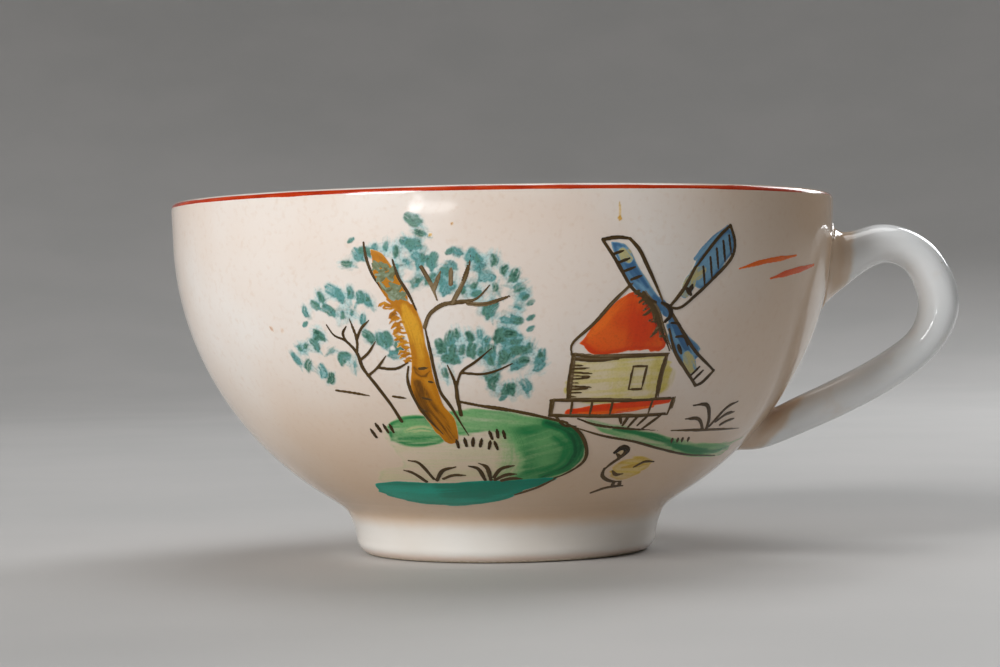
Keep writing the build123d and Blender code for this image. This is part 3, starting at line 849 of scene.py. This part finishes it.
def paint_mill_lines():
    """The windmill drawn in brown: roof, wall, window, deck, legs and the sails' frames."""
    film = Film((7, 42), (18, 46.2), cell=0.115, seed=20, edge=0.3)
    walls = [
        [(20.4, 37.6), (17.6, 35.4), (14.6, 32.7), (11.4, 30.3), (11.4, 28.8)],
        [(22.6, 36.6), (25.2, 34.2), (26.8, 31.7), (29.0, 29.0)],
        [(11.4, 28.8), (16.0, 28.4), (22.0, 28.4), (28.8, 28.5)],
        [(11.6, 28.2), (15.4, 28.0), (19.6, 28.1)],
        [(11.6, 28.6), (11.3, 25.4), (11.5, 22.8)],
        [(28.6, 28.4), (28.4, 25.6), (28.9, 22.8)],
    ]
    deck = [
        [(8.4, 22.9), (15.0, 22.8), (24.0, 22.6), (32.8, 22.7)],
        [(8.4, 20.9), (15.0, 20.7), (24.0, 20.5), (32.8, 20.6)],
        [(8.5, 22.9), (8.4, 20.9)],
        [(32.8, 22.7), (33.0, 20.6)],
    ]
    for line in walls + deck:
        film.brush(line, 0.4, tone=0.5, taper=(0.8, 0.7), dry=0.8)
        second = [beside(point, 0.3, 0.18) for point in line]
        film.brush(second, 0.34, tone=0.8, strength=0.9, taper=(0.4, 0.3), dry=1.0)
    window = [(22.7, 27.1), (25.3, 27.1), (25.3, 24.1), (22.7, 24.1)]
    fine = [[start, end] for start, end in zip(window, window[1:] + window[:1])]
    fine += [[(azimuth, 22.7), (azimuth, 20.8)] for azimuth in (12.4, 16.2, 20.2, 28.4)]
    legs = [
        [(22.4, 20.6), (23.2, 19.6)],
        [(24.3, 20.5), (23.7, 19.3)],
        [(26.4, 20.5), (25.0, 19.0)],
        [(28.6, 20.5), (27.0, 19.2)],
        [(31.4, 20.4), (28.4, 18.7)],
        [(9.6, 20.8), (11.4, 19.6), (14.0, 19.4)],
    ]
    film.strokes(legs, 0.4, tone=0.4, taper=(0.8, 0.6), dry=0.6)
    film.strokes(fine, 0.28, tone=0.55, taper=(0.8, 0.5), dry=0.5)
    for height in np.linspace(23.4, 27.4, 10):
        end = 13.0 + film.random.uniform(0, 2.8)
        slope = film.random.uniform(-0.25, 0.25)
        film.brush([(11.6, height), (end, height + slope)], 0.26,
                   tone=film.random.uniform(0.4, 0.9), taper=(0.8, 0.3), dry=0.9)
    frames = [
        [(15.6, 43.3), (18.0, 43.6), (20.0, 43.4)],
        [(20.0, 43.4), (21.6, 42.0), (23.0, 40.0), (24.6, 37.8), (26.2, 35.6)],
        [(15.7, 43.1), (18.0, 40.4), (20.0, 37.8), (21.7, 36.5), (25.0, 35.3)],
        [(38.6, 45.1), (36.4, 43.8), (34.0, 41.8), (31.7, 39.6)],
        [(38.6, 45.1), (39.6, 42.9), (39.0, 40.8), (35.6, 38.3), (32.4, 36.1), (29.9, 34.6),
         (28.0, 34.5)],
        [(31.7, 39.6), (29.8, 36.8), (27.6, 34.6)],
        [(27.8, 34.2), (30.8, 31.6), (34.6, 28.8), (40.2, 26.2)],
        [(40.2, 26.2), (38.4, 24.7), (37.0, 24.3)],
        [(37.0, 24.3), (33.6, 26.4), (30.4, 28.7), (28.2, 31.8)],
    ]
    film.strokes(frames, 0.46, tone=0.32, taper=(0.9, 0.7), dry=0.6)
    bars = [
        [(38.3, 43.8), (38.9, 41.4)],
        [(37.1, 43.1), (37.7, 40.4)],
        [(35.8, 42.1), (36.4, 39.5)],
        [(34.6, 41.0), (35.2, 38.4)],
        [(33.3, 39.8), (33.9, 37.5)],
        [(35.2, 25.8), (36.5, 26.8)],
        [(36.2, 25.2), (37.6, 26.3)],
        [(17.4, 41.5), (19.0, 41.9)],
        [(18.2, 40.4), (20.0, 40.9)],
        [(19.2, 39.3), (21.0, 39.8)],
        [(20.4, 38.2), (22.2, 38.7)],
        [(28.4, 32.6), (29.8, 32.5), (30.8, 31.3)],
        [(29.8, 30.8), (31.4, 30.8), (32.6, 29.6)],
    ]
    film.strokes(bars, 0.36, tone=0.15, taper=(0.8, 0.5), dry=0.4)
    blots = [
        [(30.6, 29.7), (31.6, 28.6)],
        [(26.2, 35.2), (27.6, 34.6), (28.1, 33.6), (27.2, 32.8)],
        [(30.6, 36.9), (31.4, 36.2)],
        [(31.2, 36.8), (31.5, 37.4)],
    ]
    film.strokes(blots, 0.62, tone=0.1, taper=(0.7, 0.6), soft=0.2, dry=0.5)
    film.brush([(21.6, 36.7), (24.4, 34.8), (26.8, 30.8)], 0.75, tone=0.5, strength=0.7,
               taper=(0.4, 0.5), soft=0.3, dry=1.0)
    for share in np.linspace(0, 1, 15):
        azimuth = 21.6 + 4.9 * share + film.random.normal(0, 0.3)
        height = 36.7 - 6.0 * share**1.3
        rise = film.random.uniform(-0.3, 0.7)
        film.brush([(azimuth - 0.7, height - rise), (azimuth + 0.5, height + 0.2)], 0.3, tone=0.6,
                   strength=0.8, taper=(0.4, 0.7), dry=1.0)
    return film.mesh("mill_lines", LINE_LIFT)


def paint_sails():
    """Blue, streaked along each sail, with four dull yellow dabs."""
    film = Film((15, 41.5), (23.5, 46), cell=0.125, seed=21, edge=0.2)
    film.wash([(16.9, 43.0), (18.8, 42.8), (20.4, 41.2), (22.2, 39.2), (24.2, 37.0), (26.4, 34.9),
               (22.8, 36.0), (20.2, 37.9), (18.0, 40.5)],
              tone=0.5, strength=0.95, soft=0.3, streak=125, patchy=0.4)
    film.brush([(18.8, 41.8), (20.6, 39.4), (23.2, 37.2)], 1.0, tone=0.85, strength=0.8,
               soft=0.5, dry=0.7)
    film.wash([(30.8, 38.6), (33.0, 41.4), (38.0, 44.7), (39.6, 42.2), (37.0, 39.4), (33.4, 36.8)],
              tone=0.5, strength=0.9, soft=0.35, streak=35, patchy=0.5)
    film.brush([(31.6, 40.8), (34.6, 43.0), (38.0, 45.0)], 0.8, tone=0.35, strength=0.8, soft=0.4)
    film.wash([(27.6, 34.2), (31.2, 31.6), (35.6, 28.8), (34.6, 27.4), (33.0, 26.7), (30.0, 28.8),
               (27.9, 31.6)], tone=0.5, strength=0.95, soft=0.3, streak=-40, patchy=0.4)
    film.brush([(28.8, 32.4), (31.8, 29.8), (34.0, 28.2)], 0.9, tone=0.9, strength=0.7, dry=0.7)
    film.brush([(24.6, 36.0), (28.8, 33.0)], 1.2, tone=0.6, soft=0.4, dry=0.4)
    dabs = [
        [(18.9, 41.6), (19.8, 40.9)],
        [(30.3, 36.4), (31.6, 38.9)],
        [(31.6, 38.6), (33.2, 39.3)],
        [(32.8, 28.4), (34.8, 26.6)],
    ]
    film.strokes(dabs, 1.7, tone=0.0, taper=(0.8, 0.8), soft=0.2, dry=0.4)
    return film.mesh("sail_paint", lift=0.036)


def paint_slope():
    """A green bank that runs out to the right under the mill."""
    film = Film((13, 72), (13, 21), cell=0.15, seed=22)
    film.wash([(15.5, 20.3), (20.0, 19.8), (28.0, 18.5), (38.0, 17.2), (50.0, 16.1), (64.0, 15.2),
               (62.0, 13.8), (50.0, 14.2), (40.0, 15.2), (28.0, 16.9), (20.0, 18.4)],
              tone=0.35, strength=0.85, soft=0.5, streak=-10, patchy=0.55)
    film.brush([(40.0, 16.0), (52.0, 15.2), (60.0, 15.4), (68.0, 16.4)], 2.0, tone=0.5,
               strength=0.85, taper=(0.5, 0.15), soft=0.5, dry=0.6)
    film.brush([(22.0, 18.9), (32.0, 17.6), (44.0, 15.6), (56.0, 14.8), (64.0, 15.2)], 1.1,
               tone=0.9, strength=0.85, soft=0.6, dry=0.7)
    return film.mesh("slope_paint", WASH_LIFT)


def paint_slope_lines():
    """The bank's outline and the tuft beside the mill."""
    film = Film((11, 64), (13.2, 22.8), cell=0.12, seed=23, edge=0.3)
    bank = [
        [(14.0, 20.4), (18.0, 19.5), (24.0, 18.9), (32.6, 18.4)],
        [(12.0, 19.6), (20.0, 18.0), (28.0, 17.0), (36.0, 15.8), (46.0, 14.7), (60.0, 14.1)],
        [(36.0, 18.3), (46.0, 18.1), (60.0, 17.9)],
    ]
    film.strokes(bank, 0.36, tone=0.4, taper=(0.4, 0.35), dry=0.6)
    tuft = [
        [(38.6, 21.6), (42.2, 21.6), (45.0, 19.8), (46.4, 18.2)],
        [(38.3, 19.8), (42.0, 19.7), (45.2, 18.2)],
        [(51.6, 21.8), (48.8, 21.0), (46.8, 18.6)],
        [(52.6, 20.4), (50.0, 20.1), (48.0, 19.2)],
        [(54.2, 19.4), (52.2, 19.2), (50.4, 18.7)],
    ]
    film.strokes(tuft, 0.48, tone=0.3, taper=(0.25, 0.9), dry=0.4)
    for azimuth in (37.6, 39.2, 40.6, 42.4):
        film.brush([(azimuth, 17.2), (azimuth + 0.5, 16.6)], 0.4, tone=0.2)
    return film.mesh("slope_lines", LINE_LIFT)


def paint_goose():
    """A thin yellow body and a touch on the head."""
    film = Film((22, 38), (10.5, 17.5), cell=0.12, seed=24)
    film.wash([(25.6, 13.4), (27.6, 14.5), (31.4, 14.8), (34.4, 14.4), (36.6, 13.9), (34.6, 12.4),
               (31.4, 11.6), (28.0, 11.7), (25.8, 12.5)],
              tone=0.35, strength=0.85, soft=0.35, streak=-8, patchy=0.5)
    film.brush([(28.4, 13.4), (32.0, 13.6), (35.0, 13.6)], 0.9, tone=0.8, strength=0.6, dry=0.8)
    film.brush([(24.8, 15.8), (26.4, 15.4), (25.4, 14.2)], 0.8, tone=0.5, strength=0.4, soft=0.3)
    return film.mesh("goose_paint", WASH_LIFT)


def paint_goose_lines():
    """The goose in brown: head, neck, breast, wing, legs and the ground it is on."""
    film = Film((22, 38), (9.6, 17.4), cell=0.11, seed=25, edge=0.3)
    film.brush([(24.4, 15.6), (25.8, 16.3), (27.3, 15.8), (26.6, 15.0)], 0.8, tone=0.1,
               taper=(0.5, 0.6))
    lines = [
        [(27.0, 15.8), (26.4, 14.9), (24.9, 14.1), (23.7, 13.2)],
        [(25.0, 15.4), (25.8, 15.1), (26.4, 14.6)],
        [(23.7, 13.4), (23.9, 12.5), (25.8, 11.8), (28.4, 11.4), (30.8, 11.4)],
        [(26.2, 13.0), (27.8, 12.4), (29.6, 12.5)],
        [(31.6, 13.4), (33.8, 14.1), (36.6, 14.0)],
        [(28.6, 11.4), (28.9, 10.8), (30.4, 10.6)],
        [(30.4, 11.3), (31.4, 10.7)],
        [(23.8, 9.9), (27.0, 10.5), (30.0, 10.7), (32.4, 10.7)],
    ]
    film.strokes(lines, 0.48, tone=0.4, taper=(0.6, 0.4), dry=0.5)
    return film.mesh("goose_lines", LINE_LIFT)


def paint_sky_strokes():
    """Two thin strokes that taper at both ends."""
    film = Film((39, 67), (37, 42.5), cell=0.12, seed=26)
    film.brush([(41.0, 39.5), (46.0, 40.3), (51.0, 40.8), (56.6, 41.3)], 0.66, tone=0.25,
               taper=(0.25, 0.4), dry=0.5)
    film.brush([(49.2, 38.2), (54.0, 38.9), (60.0, 39.6), (64.6, 40.1)], 0.72, tone=0.4,
               taper=(0.25, 0.4), dry=0.5)
    return film.mesh("sky_paint", lift=0.01, thickness=0.03)


def paint_stray_marks():
    """Small accidents: a yellow run under the brim, orange specks, and two grey smudges."""
    film = Film((-44.5, 20), (31, 48.6), cell=0.12, seed=27)
    film.brush([(18.3, 48.2), (18.4, 47.0), (18.3, 45.8)], 0.4, tone=0.0, strength=0.7, soft=0.25)
    film.brush([(18.4, 46.2), (18.3, 45.7)], 0.6, tone=0.25, strength=0.8, soft=0.2)
    film.brush([(-7.7, 45.6), (-7.5, 45.5)], 0.62, tone=0.45, strength=0.8, soft=0.25)
    film.brush([(-11.1, 44.3), (-10.9, 44.1)], 0.6, tone=0.2, strength=0.8, soft=0.25)
    film.brush([(-42.8, 32.9), (-42.2, 32.4)], 0.7, tone=1.0, strength=0.55, soft=0.4)
    film.brush([(-40.2, 32.6), (-39.8, 32.2)], 0.8, tone=1.0, strength=0.4, soft=0.5)
    return film.mesh("stray_marks", lift=0.012)


def paint_rim_line():
    """The red line laid on a turning wheel just under the lip, its ends overlapping behind. It is
    worn thin near the handle."""
    end, worn_place = 184, 72
    film = Film((-end, end), (49.0, 50.36), cell=0.1, seed=28)
    azimuth = film.azimuth
    middle = 50.0 + 0.08 * (lattice_noise(azimuth / 17 + 30, 0 * azimuth, 1) - 0.5)
    half = 0.25 + 0.12 * (lattice_noise(azimuth / 5 + 90, 0 * azimuth, 2) - 0.5)
    edge = eased((half - np.abs(film.height - middle)) / 0.12 + 0.5)
    whole = eased((np.abs(azimuth - worn_place) - 8) / 14)
    load = 0.75 + 0.25 * lattice_noise(azimuth / 2.2 + 180, film.length / 0.3, 3)
    ends = eased((end - np.abs(azimuth)) / 6)
    film.cover = edge * load * ends * (0.35 + 0.65 * whole)
    film.tone = 0.2 + 0.6 * lattice_noise(azimuth / 3 + 180, film.length / 0.2, 4)
    return film.mesh("rim_paint", lift=0.012)


# ---- Materials

LUSTRE_ROUGHNESS = 0.09
ENAMEL_ROUGHNESS = 0.16


def linear(red, green, blue):
    """A colour picked on a screen, from 0 to 255, as the shader's numbers."""
    share = [c / 255 for c in (red, green, blue)]
    return tuple(c / 12.92 if c < 0.04045 else ((c + 0.055) / 1.055) ** 2.4 for c in share) + (1,)


class Look:
    """One material, built from short calls. Places are the shared frame's, in metres."""

    def __init__(self, name, roughness):
        self.material = bpy.data.materials.new(name)
        self.material.use_nodes = True
        self.tree = self.material.node_tree
        self.shader = self.tree.nodes["Principled BSDF"]
        self.place = self.tree.nodes.new("ShaderNodeTexCoord").outputs["Object"]
        self.set("IOR", 1.5)
        self.set("Roughness", roughness)

    def feed(self, socket, value):
        """Links a node's output to a socket, or sets a plain value on the socket itself."""
        if hasattr(value, "is_output"):
            self.tree.links.new(value, socket)
        else:
            socket.default_value = value

    def set(self, name, value):
        self.feed(self.shader.inputs[name], value)

    def node(self, kind, inputs, **settings):
        made = self.tree.nodes.new(kind)
        for key, value in settings.items():
            setattr(made, key, value)
        for key, value in inputs.items():
            self.feed(made.inputs[key], value)
        return made

    def texture(self, kind, size, offset, inputs):
        """A texture laid out in cells of size millimetres."""
        scale = [1 / (size * MM)] * 3
        mapped = self.node("ShaderNodeMapping", {0: self.place, 1: offset, 3: scale})
        return self.node(kind, {"Vector": mapped.outputs[0], "Scale": 1.0, **inputs})

    def noise(self, size, detail=3.0, offset=(0, 0, 0)):
        """Noise whose lumps are about size millimetres across."""
        inputs = {"Detail": detail, "Roughness": 0.5}
        return self.texture("ShaderNodeTexNoise", size, offset, inputs).outputs["Fac"]

    def spots(self, spacing, size, offset=(0, 0, 0)):
        """1 inside sparse round specks and 0 elsewhere; both lengths in millimetres."""
        cells = self.texture("ShaderNodeTexVoronoi", spacing, offset, {})
        return self.span(cells.outputs["Distance"], size / spacing, 0.6 * size / spacing)

    def axis(self, letter):
        parts = self.node("ShaderNodeSeparateXYZ", {0: self.place})
        return parts.outputs["XYZ".index(letter)]

    def span(self, value, low, high, to_low=0.0, to_high=1.0):
        """Maps value from low..high to to_low..to_high, held at the ends."""
        inputs = {0: value, 1: low, 2: high, 3: to_low, 4: to_high}
        return self.node("ShaderNodeMapRange", inputs, interpolation_type="SMOOTHSTEP").outputs[0]

    def math(self, operation, first, second=0.0):
        return self.node("ShaderNodeMath", {0: first, 1: second}, operation=operation).outputs[0]

    def mix(self, share, first, second):
        """A colour between two others. The node's colour sockets are its inputs 6 and 7."""
        inputs = {0: share, 6: first, 7: second}
        return self.node("ShaderNodeMix", inputs, data_type="RGBA").outputs[2]

    def stored(self, name):
        """A number kept on the mesh's points."""
        made = self.tree.nodes.new("ShaderNodeAttribute")
        made.attribute_name = name
        return made.outputs["Fac"]

    def bump(self, height, depth):
        """Relief from a height between 0 and 1, depth in millimetres."""
        inputs = {"Height": height, "Distance": depth * MM, "Strength": 1.0}
        self.set("Normal", self.node("ShaderNodeBump", inputs).outputs[0])


def lustre_colour(look):
    """Cream to peach lustre: mottled, warmer towards the brim, with a darker golden painted shade
    towards the foot and the handle side, and fine freckles."""
    cloud = look.span(look.noise(26, detail=2), 0.35, 0.65)
    height = look.axis("Z")
    warm_high = look.span(height, 40 * MM, 50 * MM, 0, 0.25)
    share = look.math("ADD", look.math("MULTIPLY", cloud, 0.55), warm_high)
    colour = look.mix(share, linear(233, 227, 221), linear(226, 205, 188))
    # Painted shade: darker and golden low on the bowl and towards the handle's side, where the cup
    # is shaded
    shaded_low = look.span(height, 33 * MM, 7 * MM, 0, 0.65)
    handle_side_shade = look.span(look.axis("X"), 12 * MM, 46 * MM, 0, 0.65)
    painted_shade = look.math("MAXIMUM", shaded_low, handle_side_shade)
    colour = look.mix(painted_shade, colour, linear(202, 163, 118))
    fine = look.span(look.noise(0.8, detail=4), 0.5, 0.8, 0, 0.22)
    colour = look.mix(fine, colour, linear(205, 170, 138))
    crowded = look.span(look.noise(14, offset=(3, 1, 7)), 0.5, 0.62)
    speck = look.math("MULTIPLY", look.spots(9, 0.22), crowded)
    return look.mix(look.math("MULTIPLY", speck, 0.6), colour, linear(150, 104, 66))


def glaze_relief(look):
    """The slow waviness and faint grain of a glaze."""
    wave = look.noise(7, detail=2)
    grain = look.noise(0.6, detail=2)
    look.bump(look.math("ADD", wave, look.math("MULTIPLY", grain, 0.03)), 0.05)


def lustre_glaze():
    """Peach lustre outside, white glaze inside the brim and under the bowl."""
    look = Look("peach_lustre_glaze", LUSTRE_ROUGHNESS)
    edge = look.math("ADD", look.stored("white"), look.math("MULTIPLY", look.noise(3), 0.3))
    inside = look.span(edge, 0.45, 0.75)
    look.set("Base Color", look.mix(inside, lustre_colour(look), white_colour(look)))
    glaze_relief(look)
    return look.material


def white_colour(look):
    """White glaze, faintly cloudy, with sparse fine specks."""
    cloud = look.span(look.noise(18, detail=3), 0.3, 0.7)
    colour = look.mix(cloud, linear(238, 239, 239), linear(231, 234, 235))
    speck = look.math("MULTIPLY", look.spots(7, 0.16, offset=(5, 2, 1)), 0.5)
    return look.mix(speck, colour, linear(140, 118, 92))


def handle_glaze():
    """White glaze; the lustre, golden there with painted shade, runs over both ends of the loop
    and stops in a yellow-brown edge.
    """
    look = Look("handle_glaze", roughness=0.08)
    ragged = look.math("MULTIPLY", look.math("SUBTRACT", look.noise(3.5), 0.5), 0.6)
    reach = look.math("ADD", look.stored("root"), ragged)
    rim = look.math("MULTIPLY", look.span(reach, 0.0, 0.45), look.span(reach, 1.0, 0.4, 0, 0.5))
    edged = look.mix(rim, white_colour(look), linear(206, 164, 106))
    look.set("Base Color", look.mix(look.span(reach, 0.15, 0.9), edged, lustre_colour(look)))
    glaze_relief(look)
    return look.material


def foot_glaze():
    """White glaze on the foot's sides, under a soft hem of lustre that carries its golden painted
    shade, wiped off the tread, which shows the bare body with a toasted edge."""
    look = Look("foot_glaze", roughness=0.1)
    height = look.math("ADD", look.axis("Z"), look.math("MULTIPLY", look.noise(2.5), 0.5 * MM))
    hem = look.span(height, 4.4 * MM, 6.9 * MM)
    bare = look.span(height, 0.75 * MM, 0.45 * MM)
    toasted = look.math("MULTIPLY", look.span(height, 1.7 * MM, 0.7 * MM), 0.4)
    cloudy = look.span(look.noise(20), 0.3, 0.7)
    white = look.mix(cloudy, linear(227, 223, 217), linear(220, 213, 204))
    glazed = look.mix(toasted, look.mix(hem, white, lustre_colour(look)), linear(206, 154, 116))
    grit = look.span(look.noise(0.5, detail=5), 0.35, 0.7)
    clay = look.mix(grit, linear(222, 210, 190), linear(196, 178, 150))
    look.set("Base Color", look.mix(bare, glazed, clay))
    look.set("Roughness", look.span(bare, 0, 1, 0.1, 0.75))
    look.bump(look.math("ADD", look.noise(7), look.math("MULTIPLY", look.noise(0.5), 0.06)), 0.06)
    return look.material


# How much enamel it takes to hide the glaze: in a thin wash, a full one, and a drawn line
SHEER, SOLID, INKED = 0.95, 0.5, 0.35


def enamel(name, shades, full, mottle=0.22):
    """Enamel over the lustre: shades run from tone 0 to tone 1. Where there is less enamel than
    full, the glaze shows through. mottle is how grainy the pigment is."""
    look = Look(name, ENAMEL_ROUGHNESS)
    look.set("Specular IOR Level", 0.3)
    tone, cover = look.stored("tone"), look.stored("cover")
    pigment, steps = linear(*shades[0]), len(shades) - 1
    for step, shade in enumerate(shades[1:]):
        share = look.span(tone, step / steps, (step + 1) / steps)
        pigment = look.mix(share, pigment, linear(*shade))
    grain = look.noise(0.3, detail=4, offset=(2, 9, 4))
    pigment = look.mix(look.span(grain, 0.45, 0.75, 0, mottle), pigment, linear(34, 34, 26))
    uneven = look.math("MULTIPLY", look.math("SUBTRACT", grain, 0.5), 0.25)
    opacity = look.span(look.math("ADD", cover, uneven), 0.04, full)
    look.set("Base Color", look.mix(opacity, lustre_colour(look), pigment))
    look.set("Roughness", look.span(opacity, 0, 1, LUSTRE_ROUGHNESS, ENAMEL_ROUGHNESS))
    glaze_relief(look)
    return look.material


def dress(piece, material, slot, *nodes):
    """Gives a piece its material, in place of CAD nodes, which it hides. slot is not used."""
    piece.data.materials.append(material)
    if nodes:
        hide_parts(*nodes)


# ---- Stage, light and camera


def make_floor():
    """A wide pale floor that curves up into a wall all round, with no line between them."""
    flat, bend, top = 560, 950, 1900
    curve = arc((flat, FLOOR_HEIGHT + bend), bend, 0, -90, 18)
    level = [(reach, FLOOR_HEIGHT) for reach in (400, 240, 120, 60, 0)]
    profile = [(flat + bend, FLOOR_HEIGHT + top), *curve, *level]
    floor = turned("floor", profile, 128, body=None)
    look = Look("floor", roughness=0.6)
    shade = look.span(look.noise(60, detail=4), 0.3, 0.7)
    look.set("Base Color", look.mix(shade, (0.50, 0.495, 0.485, 1), (0.53, 0.52, 0.51, 1)))
    floor.data.materials.append(look.material)


def make_lamp(name, place, size, power, colour=(1, 1, 1), round_edge=False):
    """A soft box or disc of the given width and height, aimed at the cup's middle."""
    lamp = bpy.data.lights.new(name, "AREA")
    lamp.shape = "ELLIPSE" if round_edge else "RECTANGLE"
    lamp.size, lamp.size_y = (side * MM for side in size)
    lamp.energy, lamp.color = power, colour
    stand = bpy.data.objects.new(name, lamp)
    stand.location = Vector(place) * MM
    cup_middle = Vector((0, 0, 28 * MM))
    aim = cup_middle - stand.location
    stand.rotation_euler = aim.to_track_quat("-Z", "Y").to_euler()
    bpy.context.collection.objects.link(stand)


def make_lights():
    """A big window on the left, small lights low beside it that shine in the glaze, soft light
    from above and behind, and a dim room."""
    make_lamp("window", (-700, -750, 520), (420, 480), 9.8)
    make_lamp("glint", (-450, -785, 84), (34, 40), 0.024, round_edge=True)
    make_lamp("gleam", (-425, -800, 110), (70, 66), 0.06, round_edge=True)
    make_lamp("sill", (-350, -825, 90), (260, 40), 0.14, round_edge=True)
    make_lamp("top", (60, 250, 800), (500, 500), 2.2)
    make_lamp("behind", (410, 530, 370), (260, 300), 2.0, (0.96, 0.98, 1.0))
    world = bpy.data.worlds.new("room")
    world.use_nodes = True
    back = world.node_tree.nodes["Background"]
    back.inputs["Color"].default_value = (0.62, 0.61, 0.60, 1)
    back.inputs["Strength"].default_value = 0.14
    bpy.context.scene.world = world


def make_camera():
    """Level with the cup's upper half, a touch to its left, and rolled so that the cup's right
    side rises."""
    camera = bpy.data.cameras.new("camera")
    camera.lens, camera.sensor_width = 89.6, 36
    camera.clip_start = 0.01
    holder = bpy.data.objects.new("camera", camera)
    to_left, distance, height = 0.44, 360, 34.3
    looking_down, leaning = 0.484, -0.951  # degrees
    holder.location = Vector((-to_left, -distance, height)) * MM
    pitch = Euler((math.radians(90 - looking_down), 0, 0)).to_matrix()
    roll = Euler((0, 0, math.radians(leaning))).to_matrix()
    holder.rotation_euler = (pitch @ roll).to_euler()
    bpy.context.collection.objects.link(holder)
    bpy.context.scene.camera = holder


# Each enamel's shades from tone 0 to tone 1, as red, green and blue on a screen
BROWN = [(44, 30, 10), (88, 66, 32), (150, 130, 98)]
MOSS = [(150, 164, 142), (116, 128, 96), (104, 90, 44)]
OCHRE = [(216, 158, 40), (184, 116, 14), (88, 54, 10)]
LEAVES = [(176, 212, 212), (92, 150, 148), (84, 132, 114), (34, 82, 68)]
GREENS = [(198, 200, 148), (116, 176, 112), (30, 128, 70), (6, 76, 46)]
POND = [(4, 164, 142), (0, 128, 104), (8, 110, 62)]
ROOF = [(240, 112, 26), (212, 58, 6), (80, 34, 12)]
YELLOWS = [(218, 202, 116), (200, 182, 78), (206, 166, 48)]
DECK = [(252, 120, 24), (228, 60, 6), (182, 34, 4)]
BLUES = [(186, 176, 122), (112, 156, 184), (56, 98, 138), (30, 50, 76)]
GOOSE = [(222, 196, 90), (200, 160, 50), (150, 108, 30)]
ORANGES = [(240, 116, 6), (220, 68, 0), (176, 42, 0)]
RED = [(210, 86, 42), (182, 52, 18), (140, 32, 12)]
STRAYS = [(222, 176, 40), (190, 120, 50), (120, 116, 104)]


def main():
    bpy.context.scene.view_settings.view_transform = "Standard"
    make_floor()
    make_lights()
    make_camera()
    dress(make_bowl(), lustre_glaze(), "peach_lustre_glaze", "bowl")
    dress(make_foot_ring(), foot_glaze(), "white_glaze", "foot_ring")
    joints = ("upper_handle_slip", "lower_handle_slip")
    dress(make_handle(), handle_glaze(), "white_glaze", "handle", *joints)

    brown = enamel("brown_line_enamel", BROWN, INKED)
    dress(paint_branches(), brown, "brown_line_enamel", "enamel_branches")
    for paint in (paint_knoll_lines, paint_mill_lines, paint_slope_lines, paint_goose_lines):
        dress(paint(), brown, "brown_line_enamel")
    dress(paint_moss(), enamel("moss_enamel", MOSS, INKED), "foliage_teal_enamel")

    even, grainy = 0.15, 0.5
    washes = [
        (paint_trunk, "trunk_ochre_enamel", "enamel_trunk", OCHRE, SOLID, even),
        (paint_foliage, "foliage_teal_enamel", "enamel_foliage", LEAVES, SHEER, grainy),
        (paint_knoll, "knoll_green_enamel", "enamel_knoll", GREENS, SHEER, even),
        (paint_pond, "pond_teal_enamel", "enamel_pond", POND, SOLID, even),
        (paint_roof, "roof_orange_enamel", "enamel_mill_roof", ROOF, SOLID, even),
        (paint_mill_wall, "wall_yellow_enamel", "enamel_mill_wall", YELLOWS, SHEER, even),
        (paint_deck, "deck_red_enamel", "enamel_mill_deck", DECK, SOLID, even),
        (paint_sails, "sail_blue_enamel", "enamel_sails", BLUES, SOLID, even),
        (paint_slope, "slope_green_enamel", "enamel_slope", GREENS, SHEER, even),
        (paint_goose, "goose_yellow_enamel", "enamel_goose", GOOSE, SHEER, even),
        (paint_sky_strokes, "sky_orange_enamel", "enamel_sky_strokes", ORANGES, SOLID, even),
        (paint_rim_line, "rim_red_enamel", "rim_line", RED, SOLID, even),
    ]
    for paint, slot, node, shades, full, mottle in washes:
        dress(paint(), enamel(slot, shades, full, mottle), slot, node)
    dress(paint_stray_marks(), enamel("stray_enamel", STRAYS, SHEER), "goose_yellow_enamel")


main()
